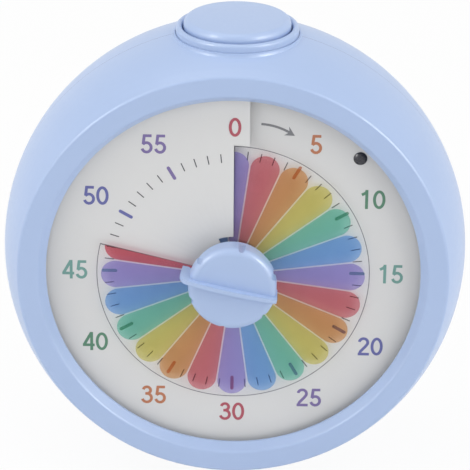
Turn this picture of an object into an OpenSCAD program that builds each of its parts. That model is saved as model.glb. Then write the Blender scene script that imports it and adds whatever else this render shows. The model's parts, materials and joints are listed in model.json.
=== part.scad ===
// Table visual timer: a round moulded case, a helical dial with a slit, and a coloured
// film that the knob feeds through the slit to show the minutes that are left.
// The dial's own frame has x to the right, y up and z towards the viewer, with z = 0 at
// the mean height of the dial's surface. The part stands with +Z up and the dial facing -Y.

/* [Case] */
// Radius of the case at its widest circle
body_r = 69; // [66:0.5:75]
// Distance of the widest circle behind the dial
belly_back = 21; // [19:0.5:24]
// Radius of the arc that the case's side follows
side_arc_r = 63; // [60:0.5:68]
// Height of the front band above the dial
band_z = 5.6; // [5.2:0.1:6]
// Rounding between the front band and the side
front_round = 1; // [0.8:0.1:2.4]
// Distance of the back face behind the dial
back_depth = 50; // [49:0.5:54]
// Rounding between the side and the back face
back_round = 8; // [7:0.5:10]
// Wall thickness of the shells
wall = 2.2; // [1.8:0.1:2.6]
// Cut of the flat base into the case's widest circle
base_cut = 3; // [2.5:0.25:4]
// Width of the case between its widest circle and the opening round the dial
rim_w = 14; // [13.5:0.25:15]
// Underside of the bezel above the dial
lip_under_z = 1.9; // [1.7:0.1:2.1]
// Inner edge of the bezel's bevel above the dial
bevel_z = 2.8; // [2.6:0.1:3]
// Width of the bezel's bevel
bevel_w = 2; // [1.8:0.1:2.4]
// Depth of the tongue that locates the rear shell in the front one
tongue_h = 2.0; // [1.5:0.1:2.6]
// Thickness of that tongue
tongue_t = 0.9; // [0.7:0.05:1]

/* [Dial] */
// Reach of the dial plate under the bezel
dial_under = 2; // [1.5:0.1:2.2]
// Thickness of the dial sheet
dial_t = 0.5; // [0.4:0.05:0.6]
// Climb of the dial and of the film over one turn
pitch = 2.4; // [2.2:0.05:2.6]
// Radius of the hole in the middle of the dial
dial_hole_r = 10; // [9:0.25:10.5]
// Radius of the relief at the root of the slit
relief_r = 11.8; // [11:0.1:12.5]
// Angle that the relief covers
relief_deg = 22; // [18:1:26]
// Width of the raised tab beside the slit
tab_w = 4.4; // [3.5:0.1:5.5]
// Gap between the film's edge and the raised tab
tab_gap = 0.5; // [0.4:0.1:1]
// Angle of the slit's own width
slit_deg = 0.4; // [0.3:0.1:0.8]
// Width of the skirt that carries the dial
skirt_w = 3; // [2.5:0.1:4]
// Seat of the dial's skirt, below the mean surface
seat_drop = 3.2; // [3:0.1:3.6]
// Diameter of the indicator lens
lens_d = 4; // [3:0.1:4.5]
// Distance of the indicator lens inside the opening
lens_inset = 3.5; // [3:0.1:4]

/* [Film] */
// Distance of the film's edge inside the opening
film_inset = 14.9; // [14:0.1:16]
// Thickness of the film
film_t = 0.2; // [0.15:0.05:0.25]
// Height of the film over the dial sheet
film_lift = 1.4; // [1.3:0.05:1.5]
// Minutes that are set at rest
set_minutes = 47; // [10:1:58]
// Radius of the hub that carries the film
hub_r = 7.4; // [6.5:0.1:8]

/* [Knob and spindle] */
// Radius of the knob
knob_r = 12.9; // [12:0.1:13.5]
// Front face of the knob above the dial
knob_face_z = 13; // [12:0.1:14]
// Underside of the knob above the dial
knob_base_z = 5; // [4.6:0.1:5.4]
// Height of the pointer fin above the knob's face
fin_h = 2.6; // [2:0.1:3]
// Thickness of the fin
fin_t = 1.2; // [1:0.1:2]
// Reach of the pointer from the axis
pointer_reach = 15.6; // [15:0.1:17]
// Radius of the spindle
spindle_r = 3; // [2.6:0.1:3.4]
// Distance between the spindle's two flats
flats_w = 4.6; // [4:0.1:5]

/* [Top button] */
// Radius of the button
button_r = 15.75; // [14:0.25:17]
// Top of the button above the case's widest circle
button_rise = 3.3; // [2.8:0.1:4]
// Travel of the button
button_travel = 2.0; // [1.5:0.1:2.2]
// Gap between the button and its collar
button_gap = 0.35; // [0.3:0.05:0.5]
// Width of the collar's flange
collar_w = 1.9; // [1.6:0.1:2.4]
// Top of the collar above the case's widest circle
collar_rise = 0.6; // [0.2:0.1:0.8]
// Height of the collar that shows above the rim round it
collar_show = 2.3; // [2:0.1:2.6]
// Radius of the button's stem
stem_r = 2.5; // [2:0.1:3]

/* [Movement] */
// Thickness of the chassis plate behind the dial
chassis_t = 1.5; // [1.2:0.1:1.8]
// Tooth module of the gear train
gear_module = 0.6; // [0.55:0.01:0.62]
// Teeth of the gear on the spindle
drive_teeth = 60; // [54:2:60]
// Teeth of the idler's small gear
idler_pinion_teeth = 12; // [10:1:14]
// Teeth of the idler's large gear
idler_wheel_teeth = 40; // [36:2:42]
// Teeth of the motor's pinion
motor_teeth = 10; // [10:1:12]
// Radius of the motor can
motor_r = 8; // [7:0.25:9]
// Length of the motor can
motor_l = 10; // [8:0.5:11]

/* [Back] */
// Diameter of an AA cell
cell_d = 14.5; // [14:0.1:14.5]
// Length of an AA cell
cell_l = 50.5; // [50:0.1:50.5]
// Diameter of the buzzer
buzzer_d = 22; // [18:0.5:24]
// Height of the buzzer
buzzer_h = 6; // [5:0.5:7]
// Travel of the sound slider
slider_travel = 4; // [3:0.1:5]
// Gap all round the battery door
door_gap = 0.3; // [0.2:0.05:0.4]

/* [Feet] */
// Diameter of a foot
foot_d = 8; // [6:0.5:9]
// Height that a foot stands out of the base
foot_out = 1.2; // [0.8:0.1:1.6]
// Depth of a foot's pocket
foot_pocket = 0.8; // [0.6:0.1:1.2]

/* [Hidden] */
$fn = 96;

// Colours of the pieces
blue = "#acc1ea";
white = "#f2f2f0";
brass = "#c9a860";
steel = "#b9bcc2";
dark = "#3a3c42";
board_green = "#2f6b4a";

// Clearances: a seat that touches loosely, a running fit and a close fit
loose = 0.3;
running = 0.05;
close = 0.02;
bite = 0.5;

// Sizes that follow the case's radius
base_drop = body_r - base_cut;
opening_r = body_r - rim_w;
dial_r = opening_r + dial_under;
film_r = opening_r - film_inset;
tab_r = film_r + tab_gap;
lens_at_r = opening_r - lens_inset;
button_top = body_r + button_rise;
collar_top = body_r + collar_rise;

// Placing the dial's frame: the origin is under the middle of the part's box
axis_h = base_drop + foot_out;
fin_top_z = knob_face_z + fin_h;
fin_drop = 1.1;
fin_proud = 0.4;
fin_sink = 2;
pointer_low = 0.6;
pointer_tip = 0.5;
waist_h = 2.2;
y_ref = (fin_top_z - back_depth) / 2;

module in_dial_frame() {
    translate([0, y_ref, axis_h])
        rotate([90, 0, 0])
            children();
}

// A local frame whose z points up along the button's axis, from the dial's axis
module in_button_frame() {
    translate([0, y_ref + belly_back, axis_h])
        children();
}

// Points of an arc in degrees, both ends included
function arc(c, r, a0, a1, n) =
    [for (i = [0:n]) [c[0] + r * cos(a0 + (a1 - a0) * i / n), c[1] + r * sin(a0 + (a1 - a0) * i / n)]];

// Outline of a rectangle about the origin with round corners
function rounded(w, h, r, n = 6) = concat(
    arc([w / 2 - r, h / 2 - r], r, 0, 90, n),
    arc([r - w / 2, h / 2 - r], r, 90, 180, n),
    arc([r - w / 2, r - h / 2], r, 180, 270, n),
    arc([w / 2 - r, r - h / 2], r, 270, 360, n));

// A closed solid through sections of equal point count, capped at both ends
module swept(sections) {
    rows = len(sections);
    m = len(sections[0]);
    sides = [for (i = [0:rows - 2], j = [0:m - 1], half = [0, 1])
        let (a = i * m + j, b = i * m + (j + 1) % m, c = a + m, d = b + m)
        half == 0 ? [a, d, b] : [a, c, d]];
    first = [for (j = [1:m - 2]) [0, j, j + 1]];
    last = [for (j = [1:m - 2]) [(rows - 1) * m, (rows - 1) * m + j + 1, (rows - 1) * m + j]];
    polyhedron(points = [for (s = sections) each s], faces = concat(sides, first, last), convexity = 6);
}

// A point at radius r and clockwise angle phi from the top of the dial
function clock(r, phi, z) = [r * sin(phi), r * cos(phi), z];

// Case profile, in (radius, z) about the dial's axis
arc_c = [body_r - side_arc_r, -belly_back];
front_round_z = band_z - front_round;
front_arc_r = side_arc_r - front_round;
front_round_c = [arc_c[0] + sqrt(pow(front_arc_r, 2) - pow(front_round_z + belly_back, 2)), front_round_z];
front_tangent = atan2(front_round_z + belly_back, front_round_c[0] - arc_c[0]);
back_round_z = back_round - back_depth;
back_arc_r = side_arc_r - back_round;
back_round_c = [arc_c[0] + sqrt(pow(back_arc_r, 2) - pow(back_round_z + belly_back, 2)), back_round_z];
back_tangent = atan2(back_round_z + belly_back, back_round_c[0] - arc_c[0]);
bevel_deg = atan2(band_z - bevel_z, bevel_w);
bevel_round = 1;
bevel_c = [opening_r + bevel_w + bevel_round * tan(bevel_deg / 2), band_z - bevel_round];
inner_arc_r = side_arc_r - wall;
shoulder_z = band_z - wall;
shoulder_r_in = opening_r + bevel_w + 1;
side_step_deg = 2.8;
inner_back_z = wall - back_depth;
base_floor = base_drop - wall - 0.2;
tongue_room_r = body_r - 0.9;
tongue_r = tongue_room_r - loose / 2;
tongue_low = 1 - base_floor;

// Radius of the shells' inner wall at a given z
function inner_r(z) = arc_c[0] + sqrt(pow(inner_arc_r, 2) - pow(z + belly_back, 2));
inner_front_z = shoulder_z - 3;
inner_front_a = asin((inner_front_z + belly_back) / inner_arc_r);
inner_back_round = back_round - wall;
front_outline = concat(
    [[opening_r, lip_under_z], [opening_r, bevel_z]],
    arc(bevel_c, bevel_round, 90 + bevel_deg, 90, 6),
    arc(front_round_c, front_round, 90, front_tangent, 8),
    arc(arc_c, side_arc_r, front_tangent - side_step_deg, 0, 8),
    [[inner_r(-belly_back), -belly_back]],
    arc(arc_c, inner_arc_r, 2.5, inner_front_a, 7),
    [[front_round_c[0] - 1, shoulder_z], [shoulder_r_in, shoulder_z], [shoulder_r_in, lip_under_z]]);
rear_outline = concat(
    arc(arc_c, side_arc_r, 0, back_tangent, 9),
    arc(back_round_c, back_round, back_tangent - 6, -90, 9),
    [[0, -back_depth], [0, inner_back_z]],
    arc(back_round_c, inner_back_round, -90, back_tangent - 6, 7),
    arc(arc_c, inner_arc_r, back_tangent, 0, 9));

// The button's column, from the dial's axis upwards
collar_bore = button_r + button_gap;
sleeve_t = 0.7;
sleeve_r = collar_bore + sleeve_t;
flange_r = collar_bore + collar_w;
flange_h = 3.6;
cup_depth = 11.6;
seat_y = collar_top - flange_h;
rim_top_y = collar_top - collar_show;
rim_land = 0.5;
rim_round = 2;
rim_root = 1;
rim_arc = arc([flange_r + loose / 2 + rim_land + rim_round, rim_top_y], rim_round, 180, 232, 5);
seam_deg = 33;
cup_floor_t = 1.4;
cup_floor_y = collar_top - cup_depth;
clip_t = 0.7;
clip_y = cup_floor_y - 0.1 - clip_t;
stem_end_y = clip_y - 0.8;
switch_gap = 0.1;
plunger_h = 1.4;
switch_h = 3.6;
switch_w = 6.2;
button_board_t = 1.6;
button_board_y = stem_end_y - button_travel - switch_gap - plunger_h - switch_h;
cup_post_x = 10;
cup_post_r = 2.4;
cap_t = 2.2;
cap_under_y = button_top - cap_t - 0.6;

// Screws: shank radius, head radius and head height
small_screw = [1.0, 1.9, 1.3];
case_screw = [1.4, 2.8, 2.0];
small_screw_l = 5;
case_screw_l = 14;

// Chassis and what stands on it
chassis_front = -seat_drop;
chassis_back = chassis_front - chassis_t;
chassis_r = dial_r + 0.2;
boss_r = 3;
boss_at_r = dial_r + loose + boss_r + 0.2;
boss_angles = [45, 135, 225, 315];
ear_w = 2 * boss_r - 1;
peg_r = 1.1;
peg_at_r = dial_r - skirt_w / 2;
peg_angles = [60, 180, 300];

// Case screws: posts in both shells
case_screw_inset = 11;
case_screw_at_r = body_r - case_screw_inset;
case_screw_angles = [25, 155, 215, 325];
post_r = 4;
post_meet_z = -belly_back - 7;
post_front_z = chassis_back - 4;
tube_r = case_screw[1] + 0.5;
screw_seat_z = post_meet_z - 3;

// Gear train, in the dial's frame
bush_flange_z = chassis_back - 1;
shoulder_front = bush_flange_z - 0.2;
shoulder_t = 1;
shoulder_r = 6;
gear_t = 2.5;
gear_front = shoulder_front - shoulder_t;
gear_back = gear_front - gear_t;
clutch_h = 1.1;
clutch_r = 5;
clip_back = gear_back - clutch_h - clip_t;
wheel_t = 2;
wheel_front = gear_back - 1.5;
wheel_back = wheel_front - wheel_t;
plate_front = wheel_back - 2;
plate_t = 1.6;
plate_back = plate_front - plate_t;
journal_r = 2;
idler_at_deg = 150;
idler_dist = (drive_teeth + idler_pinion_teeth) * gear_module / 2;
idler_at = [idler_dist * cos(idler_at_deg), idler_dist * sin(idler_at_deg)];
motor_at_deg = 60;
motor_dist = (idler_wheel_teeth + motor_teeth) * gear_module / 2;
motor_at = idler_at + [motor_dist * cos(motor_at_deg), motor_dist * sin(motor_at_deg)];
axle_r = 0.75;
shaft_r = 0.75;
motor_boss_r = 3;

// Movement plate and circuit board
plate_size = [66, 60];
plate_at = [-8, 6];
pillar_inset = 5;
pillar_r = 3;
pillars = [for (sx = [-1, 1], sy = [-1, 1])
    plate_at + [sx * (plate_size[0] / 2 - pillar_inset), sy * (plate_size[1] / 2 - pillar_inset)]];
board_size = [64, 30];
board_at = [-8, 20];
board_t = 1.6;
board_front = plate_back - motor_l - 3.2;
board_back = board_front - board_t;
post_inset = 4;
board_posts = [
    board_at + [post_inset - board_size[0] / 2, -8],
    board_at + [board_size[0] / 2 - post_inset, -8],
    board_at + [14, board_size[1] / 2 - post_inset]];
chip_size = [9, 9, 1.2];
chip_at = board_at + [-12, -4];

// Battery bay in the rear shell, with two cells side by side
cell_gap = 1.5;
contact_room = 4;
bay_wall = 1.6;
bay_w = cell_l + 2 * contact_room;
bay_h = 2 * cell_d + cell_gap + 2 * loose;
bay_at_y = -24.5;
door_t = wall;
cell_z = inner_back_z + loose + cell_d / 2;
bay_floor_z = cell_z + cell_d / 2 + loose;
bay_round = 2;
cell_y = [for (s = [1, -1]) bay_at_y + s * (cell_d + cell_gap) / 2];

// Buzzer, sound slots and slide switch on the back wall
buzzer_at = [0, 26];
buzzer_ring_t = 1.4;
slot_w = 2;
slot_step = 4;
slot_count = 5;
slot_field_r = buzzer_d / 2 - 1.6;
slider_at = [34, 18];
slider_nub = [3.6, 3.6];
slider_slot_h = 4.2;
slider_slot_w = slider_nub[0] + slider_travel + 2 * loose;
switch_size = [14, 7, 5];
slider_well = 1;

// Feet: two under each shell
base_half_w = sqrt(pow(body_r, 2) - pow(base_drop, 2));
base_half_l = sqrt(pow(side_arc_r, 2) - pow(side_arc_r - base_cut, 2));
foot_inset = 9.1;
foot_x = base_half_w - foot_inset;
foot_from_belly = base_half_l - foot_inset;
foot_t = foot_out + foot_pocket;

// Height of the dial's upper surface at a clockwise angle
function dial_z(phi) = pitch * (phi / 360 - 0.5);
// Underside of the film at an unwound clockwise angle
function film_z(phi) = dial_z(phi) + film_lift;
set_deg = set_minutes * 6;

// Revolves an outline of (radius, z) points about the z axis
module turned(points) {
    rotate_extrude()
        polygon(points);
}

// A straight prism from z0 up to z1 with a given outline
module slab(points, z0, z1) {
    translate([0, 0, z0])
        linear_extrude(z1 - z0)
            polygon(points);
}

// A round bar from z0 up to z1
module bar(r, z0, z1) {
    translate([0, 0, z0])
        cylinder(r = r, h = z1 - z0);
}

// A ring from z0 up to z1
module ring(r_out, r_in, z0, z1) {
    difference() {
        bar(r_out, z0, z1);
        bar(r_in, z0 - 1, z1 + 1);
    }
}

// Children at a radius and an angle from the x axis
module at_angle(r, a) {
    translate([r * cos(a), r * sin(a), 0])
        children();
}

// A screw that points to +z, with its head's bearing face at z = 0
module screw(size, length) {
    difference() {
        union() {
            bar(size[0], -size[2] / 2, length);
            bar(size[1], -size[2], 0);
        }
        for (a = [0, 90])
            rotate(a)
                translate([-size[1] * 0.55, -size[1] * 0.11, -size[2] - 1])
                    cube([size[1] * 1.1, size[1] * 0.22, 1 + size[2] * 0.5]);
    }
}

// Space above a level plane of the case, given by its height over the dial's axis
module above(y, from_axis = 200) {
    translate([-from_axis, y, -from_axis])
        cube([2 * from_axis, 2 * from_axis, 2 * from_axis]);
}

// Bore and seat that the collar takes out of the top of both shells
module collar_room() {
    translate([0, 0, -belly_back])
        rotate([-90, 0, 0])
            rotate(seam_deg) {
            bar(sleeve_r + loose / 2, cup_floor_y - 4, collar_top + 10);
            bar(flange_r + loose / 2, seat_y, collar_top + 10);
        }
}

// Half of the hollow-curved rim that leads up to the collar, on one side of the parting plane
module collar_rim(side) {
    intersection() {
        translate([0, 0, -belly_back])
            rotate([-90, 0, 0])
                rotate(seam_deg)
                    turned(concat(
                        [[0, rim_top_y]],
                        rim_arc,
                        [[rim_arc[5][0], seat_y - rim_root], [0, seat_y - rim_root]]));
        translate([-body_r, 0, side > 0 ? -belly_back : -belly_back - body_r])
            cube([2 * body_r, 2 * body_r, body_r]);
    }
}

// Pockets of all four feet
module foot_pockets() {
    for (sx = [-1, 1], sz = [-1, 1])
        translate([sx * foot_x, -base_drop - 1, -belly_back + sz * foot_from_belly])
            rotate([-90, 0, 0])
                cylinder(d = foot_d + loose, h = 1 + foot_pocket);
}

// The base's thick floor, which closes the cut at the bottom of both shells
module base_floor_in(a0, a1) {
    mid_wall = arc(arc_c, side_arc_r - wall / 2, a0, a1, 8);
    intersection() {
        turned(concat(mid_wall, [[0, mid_wall[8][1]], [0, mid_wall[0][1]]]));
        translate([-body_r, -body_r, -body_r])
            cube([2 * body_r, body_r - base_floor, 2 * body_r]);
    }
}

module front_shell() {
    color(blue)
        in_dial_frame()
            difference() {
                union() {
                    intersection() {
                        union() {
                            turned(front_outline);
                            base_floor_in(inner_front_a, 0);
                        }
                        above(-base_drop);
                    }
                    collar_rim(1);
                    for (a = boss_angles)
                        at_angle(boss_at_r, a)
                            bar(boss_r, chassis_front, shoulder_z + bite);
                    for (a = case_screw_angles)
                        front_post(a);
                }
                for (a = boss_angles)
                    at_angle(boss_at_r, a)
                        bar(small_screw[0] + running, chassis_front - 1, shoulder_z - 0.4);
                for (a = case_screw_angles)
                    at_angle(case_screw_at_r, a)
                        bar(case_screw[0] + running, post_meet_z - 1, post_front_z - 3);
                intersection() {
                    ring(tongue_room_r, body_r - wall - 2, -belly_back - 1, -belly_back + tongue_h + loose);
                    above(tongue_low - loose);
                }
                collar_room();
                foot_pockets();
            }
}

// A screw post of the front shell, webbed to the side wall
module front_post(a) {
    web_end = inner_r(post_front_z) + wall / 2;
    at_angle(case_screw_at_r, a)
        bar(post_r, post_meet_z, post_front_z);
    rotate(a)
        translate([case_screw_at_r, -1, -belly_back + tongue_h + 1])
            cube([web_end - case_screw_at_r, 2, post_front_z + belly_back - tongue_h - 1]);
}

module rear_shell() {
    color(blue)
        in_dial_frame()
            difference() {
                union() {
                    intersection() {
                        union() {
                            turned(rear_outline);
                            intersection() {
                                ring(tongue_r, tongue_r - tongue_t, -belly_back - 3, -belly_back + tongue_h);
                                above(tongue_low);
                            }
                            base_floor_in(0, back_tangent);
                        }
                        above(-base_drop);
                    }
                    collar_rim(-1);
                    for (a = case_screw_angles)
                        at_angle(case_screw_at_r, a)
                            bar(tube_r + 1.6, -back_depth + back_round / 2, post_meet_z - 0.1);
                    translate([0, bay_at_y, 0])
                        slab(rounded(bay_w + 2 * bay_wall, bay_h + 2 * bay_wall, bay_round + bay_wall),
                            inner_back_z - bite, bay_floor_z + bay_wall);
                    translate([buzzer_at[0], buzzer_at[1], 0])
                        ring(buzzer_d / 2 + loose + buzzer_ring_t, buzzer_d / 2 + loose,
                            inner_back_z - bite, inner_back_z + buzzer_h * 0.7);
                }
                for (a = case_screw_angles)
                    at_angle(case_screw_at_r, a) {
                        bar(tube_r, -back_depth - 1, screw_seat_z);
                        bar(case_screw[0] + 0.2, -back_depth, post_meet_z + 1);
                    }
                translate([0, bay_at_y, 0])
                    slab(rounded(bay_w, bay_h, bay_round), -back_depth - 1, bay_floor_z);
                sound_slots();
                slider_opening();
                collar_room();
                foot_pockets();
            }
}

// Sound slots over the buzzer, longer towards the middle
module sound_slots() {
    for (i = [0:slot_count - 1]) {
        off = (i - (slot_count - 1) / 2) * slot_step;
        translate([buzzer_at[0], buzzer_at[1] + off, 0])
            slab(rounded(2 * sqrt(pow(slot_field_r, 2) - off * off), slot_w, slot_w * 0.48),
                -back_depth - 1, inner_back_z + 1);
    }
}

// Shallow well and slot for the sound slider
module slider_opening() {
    translate([slider_at[0], slider_at[1], 0]) {
        slab(rounded(slider_slot_w + 3, slider_slot_h + 3, 1.6), -back_depth - 1, slider_well - back_depth);
        slab(rounded(slider_slot_w, slider_slot_h, 0.6), -back_depth, inner_back_z + 1);
    }
}

module battery_door() {
    grip_w = 16;
    grip_h = 5;
    color(blue)
        in_dial_frame()
            translate([0, bay_at_y, 0])
                difference() {
                    union() {
                        slab(rounded(bay_w - 2 * door_gap, bay_h - 2 * door_gap, bay_round - door_gap),
                            -back_depth, door_t - back_depth - door_gap);
                        translate([0, 0, door_t - back_depth - door_gap - bite])
                            linear_extrude(bite + 2.4)
                                square([cell_l * 0.6, cell_gap], center = true);
                    }
                    translate([0, bay_h / 2 - grip_h, 0])
                        slab(rounded(grip_w, grip_h, 2), -back_depth - 1, -back_depth + 0.9);
                    for (i = [1:4])
                        translate([0, bay_h / 2 - grip_h - 3 - 2 * i, 0])
                            slab(rounded(grip_w, 0.8, 0.35), -back_depth - 1, -back_depth + 0.5);
                }
}

module case_screws() {
    color(steel)
        in_dial_frame()
            for (a = case_screw_angles)
                at_angle(case_screw_at_r, a)
                    translate([0, 0, screw_seat_z])
                        screw(case_screw, case_screw_l);
}

module feet() {
    edge = 0.5;
    r = foot_d / 2;
    color(dark)
        in_button_frame()
            for (sx = [-1, 1], sy = [-1, 1])
                translate([sx * foot_x, sy * foot_from_belly, -base_drop - foot_out])
                    turned([[0, 0], [r - edge, 0], [r, edge], [r, foot_t], [0, foot_t]]);
}

// The collar is a cup: a rounded flange outside, a sleeve, and a floor that guides the stem
module button_collar() {
    top_c = [(collar_bore + flange_r) / 2, collar_top - collar_w / 2];
    floor_top = cup_floor_y + cup_floor_t;
    guide_r = stem_r + running;
    color(blue)
        in_button_frame()
            difference() {
                union() {
                    turned(concat(
                        arc(top_c, collar_w / 2, 0, 180, 10),
                        [[collar_bore, floor_top], [guide_r, floor_top],
                        [guide_r, cup_floor_y], [sleeve_r, cup_floor_y],
                        [sleeve_r, seat_y], [flange_r, seat_y]]));
                    for (sx = [-1, 1])
                        translate([sx * cup_post_x, 0, 0])
                            bar(cup_post_r, button_board_y, cup_floor_y + bite);
                }
                for (sx = [-1, 1])
                    translate([sx * cup_post_x, 0, 0])
                        bar(small_screw[0] + running, button_board_y - 1, cup_floor_y - 1);
            }
}

module top_button() {
    dome = 0.6;
    edge = 2;
    skirt_in = button_r - 1.6;
    skirt_end = cup_floor_y + cup_floor_t + button_travel + 0.6;
    dome_r = (button_r * button_r + dome * dome) / (2 * dome);
    dome_edge = asin((button_r - edge) / dome_r);
    shoulder_y = button_top - dome_r + dome_r * cos(dome_edge);
    color(blue)
        in_button_frame()
            difference() {
                turned(concat(
                    arc([0, button_top - dome_r], dome_r, 90, 90 - dome_edge, 8),
                    arc([button_r - edge, shoulder_y - edge], edge, 80, 0, 7),
                    [[button_r, skirt_end], [skirt_in, skirt_end], [skirt_in, cap_under_y],
                    [stem_r, cap_under_y], [stem_r, stem_end_y], [0, stem_end_y]]));
                ring(stem_r + 1, stem_r - 0.6, clip_y - running, clip_y + clip_t + running);
            }
}

// Ring of points round one place on a helix, for a tube of six sides
function helix_ring(r, wire_r, turn, z, sides = 6) =
    [for (j = [0:sides - 1])
        let (b = -360 * j / sides, rr = r + wire_r * cos(b))
        [rr * cos(turn), rr * sin(turn), z + wire_r * sin(b)]];

module button_spring() {
    coil_r = stem_r + 2;
    wire_r = 0.4;
    turns = 5;
    rings = 8;
    low = cup_floor_y + cup_floor_t + wire_r + 0.1;
    high = cap_under_y - wire_r - 0.1;
    step = (high - low) / turns;
    echo(spring_least_gap = step - 2 * wire_r);
    color(steel)
        in_button_frame()
            swept([for (i = [0:turns * rings])
                helix_ring(coil_r, wire_r, 360 * i / rings, low + step * i / rings)]);
}

module stem_clip() {
    color(steel)
        in_button_frame()
            difference() {
                ring(stem_r + 1.6, stem_r - 0.6 + close, clip_y, clip_y + clip_t);
                translate([-stem_r + 0.9, 0, clip_y - 1])
                    cube([2 * stem_r - 1.8, stem_r + 4, clip_t + 2]);
            }
}

module button_board() {
    board_l = 2 * cup_post_x + 8;
    board_w = 12;
    color(board_green)
        in_button_frame()
            difference() {
                slab(rounded(board_l, board_w, 1.5), button_board_y - button_board_t, button_board_y);
                for (sx = [-1, 1])
                    translate([sx * cup_post_x, 0, 0])
                        bar(small_screw[0] + 0.2, button_board_y - button_board_t - 1, button_board_y + 1);
            }
}

module button_switch() {
    color(dark)
        in_button_frame() {
            slab(rounded(switch_w, switch_w, 0.5), button_board_y, button_board_y + switch_h);
            bar(1.7, button_board_y + switch_h - bite, button_board_y + switch_h + plunger_h);
        }
}

module button_screws() {
    color(steel)
        in_button_frame()
            for (sx = [-1, 1])
                translate([sx * cup_post_x, 0, button_board_y - button_board_t])
                    screw(small_screw, small_screw_l);
}

// Section of the dial at a clockwise angle: a thin sheet with a skirt down to the chassis
function dial_section(phi, r_in) =
    let (z = dial_z(phi), r_skirt = dial_r - skirt_w)
    [clock(r_skirt, phi, z - dial_t), clock(r_skirt, phi, chassis_front), clock(dial_r, phi, chassis_front),
    clock(dial_r, phi, z), clock(r_in, phi, z), clock(r_in, phi, z - dial_t)];

module dial_plate() {
    first = slit_deg / 2;
    relief_at = 360 - relief_deg;
    steps = 56;
    tail_steps = 5;
    tab_extra = 0.05;
    color(white)
        in_dial_frame() {
            swept(concat(
                [for (i = [0:steps]) dial_section(first + (relief_at - first) * i / steps, dial_hole_r)],
                [for (i = [0:tail_steps])
                    dial_section(relief_at + 0.1 + (relief_deg - 0.1 - first) * i / tail_steps, relief_r)]));
            intersection() {
                ring(dial_r - 0.2, tab_r, dial_z(360) - dial_t - tab_extra, dial_z(360) + tab_extra);
                translate([-1, 0, -10])
                    cube([tab_w + 1, dial_r, 20]);
            }
            for (a = peg_angles)
                at_angle(peg_at_r, a)
                    bar(peg_r, chassis_back - 0.6, chassis_front + bite);
        }
}

module indicator_lens() {
    lens_deg = 45;
    sink = 0.1;
    dome_h = 0.9;
    r = lens_d / 2;
    dome_r = (r * r + dome_h * dome_h) / (2 * dome_h);
    edge_a = asin(r / dome_r);
    top = dial_z(lens_deg);
    color(dark)
        in_dial_frame()
            translate([lens_at_r * sin(lens_deg), lens_at_r * cos(lens_deg), top + sink])
                turned(concat([[0, 0], [r, 0]], arc([0, dome_h - dome_r], dome_r, 90 - edge_a, 90, 6)));
}

module film_disc() {
    r_in = hub_r + 0.1;
    steps = 60;
    ends = 0.6;
    from = set_deg - 360 + ends;
    color("#8fc3a8")
        in_dial_frame()
            swept([for (i = [0:steps])
                let (phi = from + (360 - ends) * i / steps, z = film_z(phi))
                [clock(r_in, phi, z), clock(film_r, phi, z),
                clock(film_r, phi, z + film_t), clock(r_in, phi, z + film_t)]]);
}

// Spindle section with two flats, for the keyed pieces
module keyed(r, w, z0, z1) {
    intersection() {
        bar(r, z0, z1);
        translate([-r - 1, -w / 2, z0 - 1])
            cube([2 * r + 2, w, z1 - z0 + 2]);
    }
}

module film_hub() {
    low = film_z(set_deg - 360) - 0.3;
    high = film_z(set_deg) + film_t + 0.2;
    color(white)
        in_dial_frame()
            rotate(90 - set_deg)
                difference() {
                    bar(hub_r, low, high);
                    keyed(spindle_r + running, flats_w + 2 * running, low - 1, high + 1);
                }
}

// The fin's outline in its own plane: an arched crest that bends down beside the knob into the pointer
function fin_outline() =
    let (tail = -knob_r - fin_proud, crest_end = knob_r + fin_proud, reach = crest_end - tail,
        arch_r = (reach * reach / 4 + fin_drop * fin_drop) / (2 * fin_drop),
        half = asin(reach / 2 / arch_r),
        tail_in = tail + 1.4, root_z = knob_face_z - fin_sink, root_r = knob_r - 1.2,
        tail_z = knob_base_z + waist_h, point_z = knob_base_z - pointer_low,
        hook_r = pointer_reach - crest_end, hook_z = fin_top_z - fin_drop - 2 * hook_r)
    concat(
        [for (i = [0:6])
            [crest_end + hook_r * cos(15 * i), hook_z + 2 * hook_r * sin(15 * i)]],
        arc([(crest_end + tail) / 2, fin_top_z - arch_r], arch_r, 90 - half + 1, 90 + half, 13),
        [[tail, tail_z], [tail_in, tail_z], [tail_in, root_z], [root_r, root_z],
        [root_r, knob_base_z + 1], [crest_end, point_z], [pointer_reach - pointer_tip, point_z]]);

module knob() {
    edge = 2.2;
    waist = 0.9;
    waist_z = knob_base_z + waist_h;
    boss = spindle_r + 2.4;
    rim = 2.2;
    bore_top = knob_face_z - 2.5;
    flute_r = 1.1;
    flute_depth = 0.9;
    color(blue)
        in_dial_frame()
            rotate(90 - set_deg)
                difference() {
                    union() {
                        difference() {
                            turned(concat(
                                [[0, knob_face_z]],
                                arc([knob_r - edge, knob_face_z - edge], edge, 90, 0, 8),
                                [[knob_r, waist_z + 0.8], [knob_r - waist, waist_z],
                                [knob_r - waist, knob_base_z], [knob_r - waist - rim, knob_base_z],
                                [knob_r - waist - rim, bore_top], [boss, bore_top],
                                [boss, knob_base_z - 1.6], [0, knob_base_z - 1.6]]));
                            for (a = [30:60:330])
                                at_angle(knob_r + flute_r - flute_depth, a)
                                    bar(flute_r, knob_base_z - 1, knob_face_z + 1);
                        }
                        rotate([90, 0, 0])
                            slab(fin_outline(), -fin_t / 2, fin_t / 2);
                    }
                    keyed(spindle_r + close, flats_w + 2 * close, knob_base_z - 3, bore_top);
                }
}

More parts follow.
